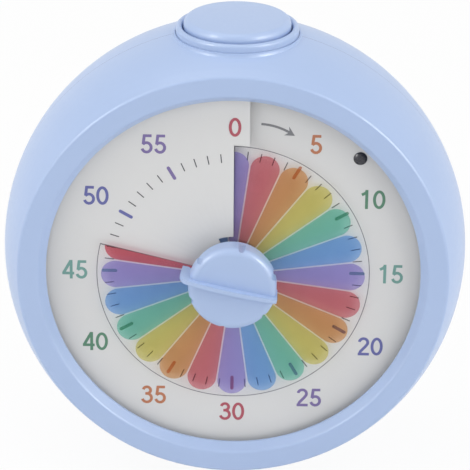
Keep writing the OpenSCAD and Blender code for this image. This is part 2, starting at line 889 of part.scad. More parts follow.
module spindle() {
    groove_r = spindle_r - 0.6;
    knob_end = knob_face_z - 2.6;
    clip_front = clip_back + clip_t;
    color(steel)
        in_dial_frame()
            rotate(90 - set_deg)
                difference() {
                    union() {
                        keyed(spindle_r, flats_w, chassis_front - 0.4, knob_end);
                        bar(spindle_r, clip_back - 0.8, chassis_front - 0.2);
                        bar(shoulder_r, gear_front, shoulder_front);
                        bar(journal_r, plate_back, clip_back);
                    }
                    ring(spindle_r + 1, groove_r, clip_back - running, clip_front + running);
                }
}

module spindle_bush() {
    color(brass)
        in_dial_frame()
            difference() {
                union() {
                    bar(spindle_r + 1.5, bush_flange_z, chassis_front);
                    bar(spindle_r + 3, bush_flange_z, chassis_back);
                }
                bar(spindle_r + running, bush_flange_z - 1, chassis_front + 1);
            }
}

module chassis_plate() {
    color(white)
        in_dial_frame()
            difference() {
                union() {
                    bar(chassis_r, chassis_back, chassis_front);
                    for (a = boss_angles)
                        rotate(a) {
                            at_angle(boss_at_r, 0)
                                bar(boss_r, chassis_back, chassis_front);
                            translate([chassis_r - boss_r, -ear_w / 2, chassis_back])
                                cube([boss_r + boss_at_r - chassis_r, ear_w, chassis_t]);
                        }
                    translate([idler_at[0], idler_at[1], 0])
                        bar(axle_r + 1.6, chassis_back - 1.2, chassis_front - bite);
                }
                bar(spindle_r + 1.5 + close, chassis_back - 1, chassis_front + 1);
                for (a = boss_angles)
                    at_angle(boss_at_r, a)
                        bar(small_screw[0] + 0.2, chassis_back - 1, chassis_front + 1);
                for (a = peg_angles)
                    at_angle(peg_at_r, a)
                        bar(peg_r + 0.1, chassis_back - 1, chassis_front + 1);
                for (p = pillars)
                    translate([p[0], p[1], 0])
                        bar(small_screw[0] + running, chassis_back - 1, chassis_front + 1);
                translate([idler_at[0], idler_at[1], 0])
                    bar(axle_r + close, chassis_back - 2, chassis_front - 0.4);
            }
}

module chassis_screws() {
    color(steel)
        in_dial_frame()
            for (a = boss_angles)
                at_angle(boss_at_r, a)
                    translate([0, 0, chassis_back])
                        screw(small_screw, chassis_t + 3.4);
}

module movement_plate() {
    color(dark)
        in_dial_frame()
            difference() {
                union() {
                    translate([plate_at[0], plate_at[1], 0])
                        slab(rounded(plate_size[0], plate_size[1], 4), plate_back, plate_front);
                    for (p = pillars)
                        translate([p[0], p[1], 0])
                            bar(pillar_r, plate_front - bite, chassis_back);
                    for (p = board_posts)
                        translate([p[0], p[1], 0])
                            bar(2.5, board_front, plate_back + bite);
                }
                bar(journal_r + running, plate_back - 1, plate_front + 1);
                for (p = pillars)
                    translate([p[0], p[1], 0])
                        bar(small_screw[0] + 0.1, plate_back - 1, chassis_back + 1);
                for (p = board_posts)
                    translate([p[0], p[1], 0])
                        bar(small_screw[0] + running, board_front - 1, board_front + 6);
                translate([idler_at[0], idler_at[1], 0])
                    bar(axle_r + close, plate_back - 1, plate_front + 1);
                translate([motor_at[0], motor_at[1], 0])
                    bar(motor_boss_r + running, plate_back - 1, plate_front + 1);
            }
}

module movement_screws() {
    color(steel)
        in_dial_frame()
            for (p = pillars)
                translate([p[0], p[1], plate_back])
                    screw(small_screw, chassis_front - plate_back - 0.2);
}

// Spur gear teeth: short involute teeth with a 25 degree pressure angle and some backlash
pressure = 25;
tooth_top = 0.8;
tooth_root = 1.1;
backlash = 0.12;
function involute(a) = tan(a) * 180 / PI - a;
function flank_angle(n, r) =
    let (pitch_r = n * gear_module / 2, base_r = pitch_r * cos(pressure), a = acos(min(1, base_r / r)))
    90 / n - backlash / 2 / pitch_r * 180 / PI + involute(pressure) - involute(a);
function tooth_radii(n) =
    let (p = n * gear_module / 2)
    [p - tooth_root * gear_module, p, p + tooth_top * gear_module];
function gear_outline(n) =
    let (radii = tooth_radii(n), last = len(radii) - 1)
    [for (k = [0:n - 1], s = [-1, 1], i = [0:last])
        let (r = radii[s < 0 ? i : last - i], a = 360 * k / n + s * flank_angle(n, r))
        [r * cos(a), r * sin(a)]];

// Turn that puts a gear in mesh with its neighbour, which is n_a teeth turned by a
function meshed(line_deg, a, n_a, n_b) = line_deg + 180 - (180 - (line_deg - a) * n_a) / n_b;
drive_turn = 0;
idler_pinion_turn = meshed(idler_at_deg, drive_turn, drive_teeth, idler_pinion_teeth);
idler_wheel_turn = 0;
motor_turn = meshed(motor_at_deg, idler_wheel_turn, idler_wheel_teeth, motor_teeth);

module drive_gear() {
    color(white)
        in_dial_frame()
            difference() {
                rotate(drive_turn)
                    slab(gear_outline(drive_teeth), gear_back, gear_front);
                bar(spindle_r + close, gear_back - 1, gear_front + 1);
                for (a = [30:60:330])
                    at_angle(11.5, a)
                        bar(3.2, gear_back - 1, gear_front + 1);
            }
}

// A dished spring washer that presses the gear against the spindle's shoulder
module clutch_spring() {
    t = 0.3;
    bore = spindle_r + 0.15;
    back = gear_back - clutch_h;
    color(steel)
        in_dial_frame()
            turned([[bore, back], [bore + 0.4, back], [clutch_r, gear_back - t], [clutch_r, gear_back],
                [clutch_r - 0.4, gear_back], [bore, back + t]]);
}

module spindle_clip() {
    color(steel)
        in_dial_frame()
            rotate(90 - set_deg)
                difference() {
                    ring(spindle_r + 1.6, spindle_r - 0.6 + close, clip_back, clip_back + clip_t);
                    translate([-spindle_r + 1.2, 0, clip_back - 1])
                        cube([2 * spindle_r - 2.4, spindle_r + 4, clip_t + 2]);
                }
}

module idler_gear() {
    color(white)
        in_dial_frame()
            translate([idler_at[0], idler_at[1], 0])
                difference() {
                    union() {
                        rotate(idler_pinion_turn)
                            slab(gear_outline(idler_pinion_teeth), wheel_front - bite, gear_front + 0.2);
                        rotate(idler_wheel_turn)
                            slab(gear_outline(idler_wheel_teeth), wheel_back, wheel_front);
                        bar(axle_r + 1.2, plate_front + 0.2, chassis_back - 1.4);
                    }
                    bar(axle_r + running, plate_front - 1, chassis_back);
                    for (a = [0:72:288])
                        at_angle(7.6, a)
                            bar(2, wheel_back - 1, wheel_front + 1);
                }
}

module idler_axle() {
    color(steel)
        in_dial_frame()
            translate([idler_at[0], idler_at[1], 0])
                bar(axle_r, plate_back, chassis_front - 0.5);
}

module motor() {
    color(steel)
        in_dial_frame()
            translate([motor_at[0], motor_at[1], 0])
                difference() {
                    union() {
                        turned([[0, plate_back - motor_l], [motor_r - 0.6, plate_back - motor_l],
                            [motor_r, plate_back - motor_l + 0.6], [motor_r, plate_back], [0, plate_back]]);
                        bar(motor_boss_r, plate_back - bite, plate_front);
                    }
                    bar(shaft_r + running, plate_back - motor_l * 0.6, plate_front + 1);
                }
}

module motor_pinion() {
    color(brass)
        in_dial_frame()
            translate([motor_at[0], motor_at[1], 0]) {
                rotate(motor_turn)
                    slab(gear_outline(motor_teeth), wheel_back - 0.4, wheel_front + 0.3);
                bar(shaft_r, plate_back - motor_l * 0.5, wheel_back);
            }
}

module circuit_board() {
    color(board_green)
        in_dial_frame()
            difference() {
                translate([board_at[0], board_at[1], 0])
                    slab(rounded(board_size[0], board_size[1], 2), board_back, board_front);
                for (p = board_posts)
                    translate([p[0], p[1], 0])
                        bar(small_screw[0] + 0.2, board_back - 1, board_front + 1);
            }
}

module control_chip() {
    color(dark)
        in_dial_frame()
            translate([chip_at[0], chip_at[1], 0])
                slab(rounded(chip_size[0], chip_size[1], 0.6), board_back - chip_size[2], board_back);
}

module circuit_screws() {
    color(steel)
        in_dial_frame()
            for (p = board_posts)
                translate([p[0], p[1], board_back])
                    screw(small_screw, board_t + 5);
}

module buzzer() {
    hole_r = 1.5;
    r = buzzer_d / 2;
    top = inner_back_z + buzzer_h;
    color(dark)
        in_dial_frame()
            translate([buzzer_at[0], buzzer_at[1], 0])
                difference() {
                    turned([[0, inner_back_z], [r, inner_back_z], [r, top - 0.6], [r - 0.6, top], [0, top]]);
                    bar(hole_r, inner_back_z - 1, inner_back_z + buzzer_h / 2);
                }
}

// Cells lie along x, and the two point opposite ways
module batteries() {
    nub_r = 2.7;
    can_l = cell_l - 1.2;
    edge = 0.5;
    r = cell_d / 2;
    color("#7d8a92")
        in_dial_frame()
            for (i = [0, 1])
                translate([0, cell_y[i], cell_z])
                    rotate([0, i == 0 ? 90 : -90, 0])
                        translate([0, 0, -cell_l / 2])
                            turned([[0, 0], [r - edge, 0], [r, edge], [r, can_l - edge], [r - edge, can_l],
                                [nub_r, can_l], [nub_r, cell_l], [0, cell_l]]);
}

// Plates at both ends of the bay: a flat one for each nub and a coil spring for each base
module battery_contacts() {
    plate_t = 0.5;
    plate_w = cell_d - 3;
    coil_r = 3.4;
    wire_r = 0.4;
    turns = 2;
    rings = 8;
    coil_gap = contact_room - plate_t - 0.1;
    step = (coil_gap - 2 * wire_r) / turns;
    color(steel)
        in_dial_frame()
            for (i = [0, 1], s = [-1, 1]) {
                nub_side = (i == 0) == (s > 0);
                translate([s * bay_w / 2, cell_y[i], cell_z])
                    rotate([0, -s * 90, 0]) {
                        slab(rounded(plate_w, plate_w, 1), 0.02, plate_t);
                        if (nub_side)
                            bar(2, plate_t - 0.1, contact_room - 0.1);
                        else
                            swept([for (k = [0:turns * rings])
                                helix_ring(coil_r, wire_r, 360 * k / rings,
                                    plate_t + wire_r - 0.1 + step * k / rings)]);
                    }
            }
}

module slide_switch() {
    color(dark)
        in_dial_frame()
            translate([slider_at[0], slider_at[1], 0])
                difference() {
                    slab(rounded(switch_size[0], switch_size[1], 0.6), inner_back_z,
                        inner_back_z + switch_size[2]);
                    slab(rounded(slider_slot_w, slider_slot_h, 0.6), inner_back_z - 1, inner_back_z + 2.4);
                }
}

module sound_slider() {
    color(dark)
        in_dial_frame()
            translate([slider_at[0] - slider_travel / 2, slider_at[1], 0])
                difference() {
                    slab(rounded(slider_nub[0], slider_nub[1], 0.4), -back_depth + 0.1, inner_back_z + 2.1);
                    for (k = [-1, 0, 1])
                        translate([k * 1.1 - 0.2, -slider_nub[1], -back_depth])
                            cube([0.4, 2 * slider_nub[1], 0.4]);
                }
}

front_shell();
rear_shell();
battery_door();
case_screws();
feet();
button_collar();
top_button();
button_spring();
stem_clip();
button_board();
button_switch();
button_screws();
dial_plate();
indicator_lens();
film_disc();
film_hub();
knob();
spindle();
spindle_bush();
chassis_plate();
chassis_screws();
movement_plate();
movement_screws();
drive_gear();
clutch_spring();
spindle_clip();
idler_gear();
idler_axle();
motor();
motor_pinion();
circuit_board();
control_chip();
circuit_screws();
buzzer();
batteries();
battery_contacts();
slide_switch();
sound_slider();
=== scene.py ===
# %% [markdown]
# # A visual timer for a desk or a classroom shelf
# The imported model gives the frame: every moulded part, wheel and spring is already at its
# real size and place, in metres, with the dial facing -Y. This lesson dresses it: it sets up
# a camera like the photograph's, lights it, mixes the real materials, and draws the printed
# dial and the coloured film that the solids leave bare.

# %% Load the frame
import json
import math

import bmesh
import bpy
from mathutils import Matrix, Vector


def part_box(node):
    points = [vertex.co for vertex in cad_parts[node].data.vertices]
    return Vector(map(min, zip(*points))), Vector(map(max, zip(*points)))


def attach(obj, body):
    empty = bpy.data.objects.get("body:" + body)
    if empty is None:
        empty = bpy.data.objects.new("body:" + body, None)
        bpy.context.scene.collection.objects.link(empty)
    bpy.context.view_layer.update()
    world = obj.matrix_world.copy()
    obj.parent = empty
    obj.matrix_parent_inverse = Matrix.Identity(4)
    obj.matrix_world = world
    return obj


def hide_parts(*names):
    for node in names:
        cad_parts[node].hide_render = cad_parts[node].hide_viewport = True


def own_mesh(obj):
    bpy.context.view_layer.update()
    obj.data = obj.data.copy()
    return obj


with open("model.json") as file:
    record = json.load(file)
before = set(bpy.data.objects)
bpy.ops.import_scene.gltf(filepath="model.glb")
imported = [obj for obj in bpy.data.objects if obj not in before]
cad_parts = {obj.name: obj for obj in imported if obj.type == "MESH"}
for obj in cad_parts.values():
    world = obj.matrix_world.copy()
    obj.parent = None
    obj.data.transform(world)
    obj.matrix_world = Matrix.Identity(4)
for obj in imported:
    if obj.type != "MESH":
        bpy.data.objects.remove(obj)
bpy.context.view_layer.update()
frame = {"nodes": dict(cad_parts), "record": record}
NODES = frame["nodes"]
MM = 0.001

# %% [markdown]
# ## The dial frame
# The dial is easier to draw from the front, in millimetres: x to the right, y up, z towards
# the viewer, all from the middle of the dial. One function turns such a point into the row's
# frame. The dial is one turn of a shallow screw, so its height follows the clock angle.

# %% Dial frame
DIAL_Y = -17.2
AXIS_HEIGHT = 67.2
DIAL_PITCH = 2.4


def row(x, y, z):
    """A point of the dial frame, in mm, as a vector of the row's frame, in metres."""
    return Vector((x * MM, (DIAL_Y - z) * MM, (AXIS_HEIGHT + y) * MM))


def clock(radius, degrees):
    """x and y of a point at a clock angle, which runs clockwise from the top."""
    turn = math.radians(degrees)
    return radius * math.sin(turn), radius * math.cos(turn)


def dial_z(degrees):
    """Height of the dial's face at a clock angle from 0 to 360."""
    return DIAL_PITCH * (degrees / 360 - 0.5)


print("dial centre:", list(row(0, 0, 0)))

# %% [markdown]
# ## The camera
# The photograph was taken from well away with a long lens, a little to the right and about
# 25 degrees above the dial's axis. The dial's centre sits low in the frame, so the camera is
# first pointed at it and then tipped until that point lands on its pixel.

# %% Camera
PHOTO_PX = 470
SENSOR_MM = 36.0
# Fitted to the outlines of the case and the dial in the photograph
FOCAL_PX = 2958
EYE = row(16.6, 360.8, 791.5)
CENTRE_PX = (233.2, 271.9)
ROLL_DEG = 0.65

aim = (row(0, 0, 0) - EYE).normalized()
level = aim.to_track_quat("-Z", "Y") @ Matrix.Rotation(math.radians(ROLL_DEG), 3, "Z").to_quaternion()
seen = Vector((CENTRE_PX[0] - PHOTO_PX / 2, PHOTO_PX / 2 - CENTRE_PX[1], -FOCAL_PX)).normalized()
tip = seen.rotation_difference(Vector((0, 0, -1)))

lens = bpy.data.cameras.new("photo_camera")
lens.sensor_width = SENSOR_MM
lens.lens = SENSOR_MM * FOCAL_PX / PHOTO_PX
lens.clip_start = 0.05
lens.clip_end = 20
camera = bpy.data.objects.new("photo_camera", lens)
camera.location = EYE
camera.rotation_mode = "QUATERNION"
camera.rotation_quaternion = level @ tip
bpy.context.scene.collection.objects.link(camera)
bpy.context.scene.camera = camera
print("lens", round(lens.lens, 1), "mm at", [round(v, 3) for v in EYE])

# %% [markdown]
# ## Colours and nodes
# Colours are written as sRGB hex, as a paint chart gives them, and turned to the linear
# values that Blender computes with. Every material is built with one small function that adds
# a node, sets it and links it.

# %% Colour and node helpers


def linear(hex_colour):
    """An sRGB hex colour as linear red, green, blue and full alpha."""
    out = []
    for i in (1, 3, 5):
        c = int(hex_colour[i:i + 2], 16) / 255
        out.append(c / 12.92 if c <= 0.04045 else ((c + 0.055) / 1.055) ** 2.4)
    return (*out, 1.0)


def put(tree, kind, inputs=(), **settings):
    """Adds one node to a tree, with its settings, and fills or links its inputs."""
    node = tree.nodes.new(kind)
    for key, value in settings.items():
        setattr(node, key, value)
    for socket, value in dict(inputs).items():
        if isinstance(value, bpy.types.NodeSocket):
            tree.links.new(value, node.inputs[socket])
        else:
            node.inputs[socket].default_value = value
    return node


def blank(name):
    """A new material with an empty node tree."""
    material = bpy.data.materials.new(name)
    material.use_nodes = True
    material.node_tree.nodes.clear()
    return material, material.node_tree


print("white is", linear("#ffffff"))

# %% [markdown]
# ## Studio
# The product stands on a white sweep with no horizon. Wide soft lamps stand above and at both
# sides, as the walls of a light tent do, so the flanks and the bevel round the dial come out
# lighter than the flat front, and two small ones high up give the shoulders their shape. The
# two edge lamps show in gloss alone: they draw the bright line along the rim and light nothing
# else. The white world fills the shadows. The floor and the world show white to the camera, to
# gloss and through clear parts; for light itself they stay at a plain level.

# %% Floor
FLOOR_REACH = 4.0
FLOOR_CORNERS = ((-1, -1), (1, -1), (1, 1), (-1, 1))
SHADOW_KEPT = 0.06


def in_view(tree):
    """1 for a ray from the camera, from gloss or through a clear part, and 0 for light itself."""
    path = put(tree, "ShaderNodeLightPath")
    direct = put(tree, "ShaderNodeMath",
                 {0: path.outputs["Is Camera Ray"], 1: path.outputs["Is Glossy Ray"]}, operation="MAXIMUM")
    any_way = put(tree, "ShaderNodeMath",
                  {0: direct.outputs[0], 1: path.outputs["Is Transmission Ray"]}, operation="MAXIMUM")
    return any_way.outputs[0]


floor_mesh = bpy.data.meshes.new("floor")
floor_mesh.from_pydata([(FLOOR_REACH * x, FLOOR_REACH * y, 0) for x, y in FLOOR_CORNERS], [], [(0, 1, 2, 3)])
floor = bpy.data.objects.new("floor", floor_mesh)
bpy.context.scene.collection.objects.link(floor)

sweep, tree = blank("white_paper_sweep")
paper = put(tree, "ShaderNodeBsdfDiffuse", {"Color": linear("#f0f0f0")})
white = put(tree, "ShaderNodeEmission", {"Color": linear("#ffffff"), "Strength": 1.0})
share = put(tree, "ShaderNodeMath", {0: in_view(tree), 1: 1 - SHADOW_KEPT}, operation="MULTIPLY")
mixed = put(tree, "ShaderNodeMixShader", {0: share.outputs[0], 1: paper.outputs[0], 2: white.outputs[0]})
put(tree, "ShaderNodeOutputMaterial", {"Surface": mixed.outputs[0]})
floor_mesh.materials.append(sweep)
print("floor", FLOOR_REACH * 2, "m wide")

# %% World and lamps
WORLD_FILL = 0.50
world = bpy.data.worlds.new("light_tent")
bpy.context.scene.world = world
world.use_nodes = True
tree = world.node_tree
tree.nodes.clear()
strength = put(tree, "ShaderNodeMapRange", {"Value": in_view(tree), "To Min": WORLD_FILL, "To Max": 1.0})
sky = put(tree, "ShaderNodeBackground", {"Color": linear("#ffffff"), "Strength": strength.outputs[0]})
put(tree, "ShaderNodeOutputWorld", {"Surface": sky.outputs[0]})

LAMP_AIM = Vector((0, 0, 0.07))
# Each lamp's place and side in metres, and its power in watts
LAMPS = {
    "lamp_above": ((-0.25, 0.05, 1.35), 1.0, 4.6),
    "lamp_left": ((-1.05, -0.50, 0.35), 1.0, 5.0),
    "lamp_right": ((1.05, -0.50, 0.35), 1.0, 6.8),
    "lamp_high_left": ((-0.75, -0.35, 1.10), 0.25, 1.8),
    "lamp_high_right": ((0.75, -0.35, 1.10), 0.25, 1.2),
    "edge_left": ((-0.88, -0.65, 0.66), 0.30, 6.0),
    "edge_right": ((0.93, -0.65, 0.58), 0.40, 10.0),
}
for name, (place, side, watts) in LAMPS.items():
    lamp = bpy.data.lights.new(name, "AREA")
    lamp.size = side
    lamp.energy = watts
    holder = bpy.data.objects.new(name, lamp)
    holder.location = place
    holder.rotation_euler = (LAMP_AIM - Vector(place)).to_track_quat("-Z", "Y").to_euler()
    holder.visible_diffuse = not name.startswith("edge_")
    bpy.context.scene.collection.objects.link(holder)
    print(name, watts, "W")
bpy.context.scene.view_settings.view_transform = "Standard"

# %% [markdown]
# ## Moulded plastics
# The case, the knob and the button are ABS, shot in a mould whose steel was given a very fine
# matt grain. What the eye gets is an even pastel colour with a soft, wide highlight, and along
# the rim a thin brighter one, because the moulded skin is a little smoother than the grain; a
# light clear coat gives that. The grain itself is finer than a pixel here, so it is drawn
# coarser than life and very shallow. Where the two shells meet, a hairline of painted shade
# stands for the shadow in the gap between them. The dial, the wheels and the black pieces are
# other plastics made in the same way, so one function mixes them all from two close colours, a
# grain and a gloss. A picture could give this too, but noise in object space needs no
# unwrapping and keeps its size in millimetres.

# %% Moulded plastics
# The plane where the shells meet and the width of the painted shade hairline along it, in mm
SEAM_Y, SEAM_W = 3.8, 0.18
# The colour drifts over this length, as a pigment that is not quite even does
CLOUD_MM = 22
GRAIN_LOW, GRAIN_HIGH = 0.3, 0.7
GRAIN_BUMP = 0.6
COAT_ROUGH = 0.12
CASE_COAT = 0.15


def parting_line(tree, place, colour):
    """A colour with a hairline of painted shade, for the gap's shadow, along the plane where the two halves
    of the case meet.
    """
    axes = put(tree, "ShaderNodeSeparateXYZ", {"Vector": place.outputs["Object"]})
    away = put(tree, "ShaderNodeMath", {0: axes.outputs["Y"], 1: SEAM_Y * MM}, operation="SUBTRACT")
    far = put(tree, "ShaderNodeMath", {0: away.outputs[0]}, operation="ABSOLUTE")
    line = put(tree, "ShaderNodeMath", {0: far.outputs[0], 1: SEAM_W / 2 * MM}, operation="LESS_THAN")
    # Painted shade: a darker blue hairline for the shadow in the gap between the shells
    dark = put(tree, "ShaderNodeMix", {"Factor": line.outputs[0], "A": colour, "B": linear("#6f80ab")},
               data_type="RGBA")
    return dark.outputs["Result"]


def moulded(name, colour, shade, grain_mm, depth_mm, gloss, ior=1.53, seam_shade=False, coat=0.0):
    """A moulded plastic: two close colours, a grain of a given size, and a roughness range."""
    material, tree = blank(name)
    place = put(tree, "ShaderNodeTexCoord")
    grain = put(tree, "ShaderNodeTexNoise",
                {"Vector": place.outputs["Object"], "Scale": 1 / (grain_mm * MM), "Detail": 2.0})
    cloud = put(tree, "ShaderNodeTexNoise",
                {"Vector": place.outputs["Object"], "Scale": 1 / (CLOUD_MM * MM), "Detail": 3.0})
    tint = put(tree, "ShaderNodeMix",
               {"Factor": cloud.outputs["Fac"], "A": linear(colour), "B": linear(shade)}, data_type="RGBA")
    rough = put(tree, "ShaderNodeMapRange",
                {"Value": grain.outputs["Fac"], "From Min": GRAIN_LOW, "From Max": GRAIN_HIGH,
                 "To Min": gloss[0], "To Max": gloss[1]})
    bump = put(tree, "ShaderNodeBump",
               {"Height": grain.outputs["Fac"], "Distance": depth_mm * MM, "Strength": GRAIN_BUMP})
    seen_colour = parting_line(tree, place, tint.outputs["Result"]) if seam_shade else tint.outputs["Result"]
    skin = put(tree, "ShaderNodeBsdfPrincipled",
               {"Base Color": seen_colour, "Roughness": rough.outputs["Result"],
                "Normal": bump.outputs["Normal"], "IOR": ior,
                "Coat Weight": coat, "Coat Roughness": COAT_ROUGH})
    put(tree, "ShaderNodeOutputMaterial", {"Surface": skin.outputs[0]})
    return material


CASE_BLUE = ("#abbfe2", "#a6bbdf", 1.5, 0.003, (0.36, 0.44))
PLASTICS = {
    # Even pastel with a soft highlight
    "case_blue": moulded("abs_pale_blue", *CASE_BLUE, coat=CASE_COAT),
    # Chalky, with hardly any highlight, so that the print reads from every side
    "dial_white": moulded("polystyrene_matt_white", "#d8d8d7", "#d3d3d3", 0.35, 0.01, (0.55, 0.70), 1.59),
    # Waxy off-white, as wheels that run without oil are
    "gear_plastic": moulded("acetal_natural", "#eceae0", "#e2dfd2", 0.60, 0.01, (0.30, 0.42), 1.48),
    # Satin black with a visible grain
    "black_plastic": moulded("nylon_black", "#232427", "#1b1c1f", 0.50, 0.02, (0.40, 0.55)),
    # Dark and smooth, with a small highlight
    "smoked_lens": moulded("acrylic_smoked", "#37373f", "#303037", 0.80, 0.002, (0.24, 0.32), 1.49),
    # Dull grey
    "rubber_feet": moulded("rubber_grey", "#5f6268", "#54575c", 0.40, 0.03, (0.70, 0.85), 1.52),
}
# The shells take the same plastic, with the painted shade along their seam
SHELL_BLUE = moulded("abs_pale_blue_shells", *CASE_BLUE, seam_shade=True, coat=CASE_COAT)
print("plastics:", sorted(PLASTICS))

# %% [markdown]
# ## Metals, board and cells
# Inside, the metal is turned, drawn or plated, and the eye knows each by its streaks: turned
# steel has fine rings round its axis, drawn wire and tinplate run along their length. A noise
# stretched along one axis gives those streaks, and unlike an anisotropic shader it needs no
# tangents on the mesh. The board is green solder mask over glass cloth, and the cells wear a
# printed sleeve.

# %% Metals, board and cells


def metal(name, colour, shade, streak_mm, stretch, gloss):
    """A bare or plated metal with streaks of a given width, stretched along one axis."""
    material, tree = blank(name)
    place = put(tree, "ShaderNodeTexCoord")
    along = put(tree, "ShaderNodeMapping", {"Vector": place.outputs["Object"], "Scale": stretch})
    streak = put(tree, "ShaderNodeTexNoise",
                 {"Vector": along.outputs[0], "Scale": 1 / (streak_mm * MM), "Detail": 3.0})
    tint = put(tree, "ShaderNodeMix",
               {"Factor": streak.outputs["Fac"], "A": linear(colour), "B": linear(shade)}, data_type="RGBA")
    rough = put(tree, "ShaderNodeMapRange",
                {"Value": streak.outputs["Fac"], "To Min": gloss[0], "To Max": gloss[1]})
    skin = put(tree, "ShaderNodeBsdfPrincipled",
               {"Base Color": tint.outputs["Result"], "Roughness": rough.outputs["Result"], "Metallic": 1.0})
    put(tree, "ShaderNodeOutputMaterial", {"Surface": skin.outputs[0]})
    return material


METALS = {
    # Pale grey and faintly mottled
    "screw_steel": metal("steel_zinc_plated", "#c9ccd0", "#aeb2b8", 0.4, (1, 1, 1), (0.22, 0.40)),
    # Bright, with streaks along the coil
    "spring_steel": metal("spring_wire_bright", "#c4c6c8", "#a6a8ab", 0.3, (1, 1, 0.3), (0.20, 0.36)),
    # The brightest, with fine rings
    "turned_steel": metal("steel_turned", "#cfd1d3", "#b4b6b9", 0.2, (0.1, 1, 0.1), (0.18, 0.32)),
    # Soft grey, with streaks along the can
    "motor_can": metal("tinplate_drawn", "#c8c9ca", "#b0b2b4", 0.5, (1, 0.15, 1), (0.25, 0.42)),
    # Warm yellow, with fine rings
    "brass": metal("brass_turned", "#d9b566", "#c49f52", 0.2, (0.1, 1, 0.1), (0.20, 0.34)),
}
OTHERS = {
    # Deep green under a smooth mask that the weave just lifts
    "board": moulded("epoxy_board_green", "#2f6a45", "#27593a", 0.80, 0.02, (0.28, 0.40), 1.55),
    # Smooth grey with a satin gloss
    "cell_jacket": moulded("cell_sleeve_grey", "#4b5157", "#41464b", 1.50, 0.005, (0.22, 0.32), 1.50),
}
print("metals:", sorted(METALS), "others:", sorted(OTHERS))

# %% [markdown]
# ## Dress the solids
# The record says which finish each node takes, so the solids get their materials from that
# list. The film's finish is in no table, because the film is drawn anew further on.

# %% Dress the solids
FINISHES = {**PLASTICS, **METALS, **OTHERS}
dressed = 0
for part in frame["record"]["subparts"]:
    finish = SHELL_BLUE if part["node"].endswith("_shell") else FINISHES.get(part["material_slot"])
    if finish is None:
        print("drawn further on:", part["node"])
        continue
    mesh = NODES[part["node"]].data
    mesh.materials.clear()
    mesh.materials.append(finish)
    dressed += 1
print("dressed", dressed, "of", len(NODES), "solids with", len(FINISHES), "finishes")

# %% [markdown]
# ## New pieces
# Every piece that is drawn here joins the scene in the same way: its mesh gets its finish, and
# it rides on a body of the frame, so that it moves as that body does.

# %% Add a piece


def add_piece(mesh, materials, body):
    """Puts a mesh into the scene as a piece of the same name, with its finish, on a body."""
    for material in materials:
        mesh.materials.append(material)
    piece = bpy.data.objects.new(mesh.name, mesh)
    bpy.context.scene.collection.objects.link(piece)
    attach(piece, body)
    return piece


# %% [markdown]
# ## The button's spring
# The coil under the button is bright drawn wire, with its end turns wound close so that they
# lie flat. As the button goes down, the real coil shortens. A solid can't, so a ring of points
# swept along a screw line stands for it, on the housing.

# %% Button spring
WIRE_R = 0.4 * MM
WIRE_SIDES = 10
RINGS_PER_TURN = 24
OPEN_TURNS, END_TURNS = 4, 1
# Close turns lie a little more than the wire's thickness apart
END_PITCH = 2.1 * WIRE_R

low, high = (Vector(corner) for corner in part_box("button_spring"))
middle = (low + high) / 2
coil_r = (high.x - low.x) / 2 - WIRE_R
open_pitch = (high.z - low.z - 2 * WIRE_R - 2 * END_TURNS * END_PITCH) / OPEN_TURNS
coil_steps = (OPEN_TURNS + 2 * END_TURNS) * RINGS_PER_TURN
points, faces = [], []
for k in range(coil_steps + 1):
    turns = k / RINGS_PER_TURN
    opened = min(max(turns - END_TURNS, 0), OPEN_TURNS)
    height = low.z + WIRE_R + opened * open_pitch + (turns - opened) * END_PITCH
    for i in range(WIRE_SIDES):
        around = math.tau * i / WIRE_SIDES
        radius = coil_r + WIRE_R * math.cos(around)
        points.append((middle.x + radius * math.cos(math.tau * turns),
                       middle.y + radius * math.sin(math.tau * turns),
                       height + WIRE_R * math.sin(around)))
for k in range(coil_steps):
    for i in range(WIRE_SIDES):
        a, b = WIRE_SIDES * k + i, WIRE_SIDES * k + (i + 1) % WIRE_SIDES
        faces.append((a, a + WIRE_SIDES, b + WIRE_SIDES, b))
faces.append(tuple(range(WIRE_SIDES)))
faces.append(tuple(WIRE_SIDES * coil_steps + i for i in reversed(range(WIRE_SIDES))))
coil_mesh = bpy.data.meshes.new("spring_coil")
coil_mesh.from_pydata(points, [], faces)
coil_mesh.polygons.foreach_set("use_smooth", [len(face) == 4 for face in faces])
coil = add_piece(coil_mesh, [METALS["spring_steel"]], "housing")
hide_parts("button_spring")
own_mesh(coil)

# %% [markdown]
# ## Printing inks
# The dial's numbers and ticks are pad-printed: a soft pad lays a very thin, even coat of satin
# ink on the moulded face. The eye sees clean edges and a flat colour, a little uneven inside a
# stroke where the coat is thinner. Six colours go round twice, the minute ticks are dark and
# the turning arrow is grey.

# %% Inks


def ink(name, colour, thin):
    """A satin printing ink, with a slightly thinner coat in patches."""
    return moulded("ink_" + name, colour, thin, 0.25, 0.002, (0.45, 0.60), 1.50)


INKS = {
    "red": ink("red", "#a84a58", "#ad5462"),
    "orange": ink("orange", "#b5714f", "#b97a5a"),
    "green": ink("green", "#4f7f65", "#58866e"),
    "teal": ink("teal", "#68978f", "#709d96"),
    "indigo": ink("indigo", "#5c609f", "#6568a3"),
    "purple": ink("purple", "#75669c", "#7d6fa1"),
    "dark": ink("dark", "#46464c", "#505056"),
    "grey": ink("grey", "#77787c", "#808185"),
}
INK_ORDER = ["red", "orange", "green", "teal", "indigo", "purple"]
print("inks:", sorted(INKS))

# %% [markdown]
# ## Printed pieces
# Each printed mark is a real, very thin layer that lies on the dial and follows its screw. It
# could be a pattern in the dial's material, but a thin mesh keeps its edges sharp at any
# distance. A mark is drawn flat, in dial millimetres, as an outline or as pen strokes, and this
# function then lays it on the face and gives it a back and an edge, so that the mesh is closed.

# %% Lay a flat mesh on a surface
INK_UP = 0.012
INK_THICK = 0.02
# Where two strokes of a mark cross, one lies this much over the other
OVERLAP_RISE = 0.004
TAB_LEFT, TAB_RIGHT = -3.0, 4.4
TAB_FROM = 40.6
TAB_TOP = 1.25


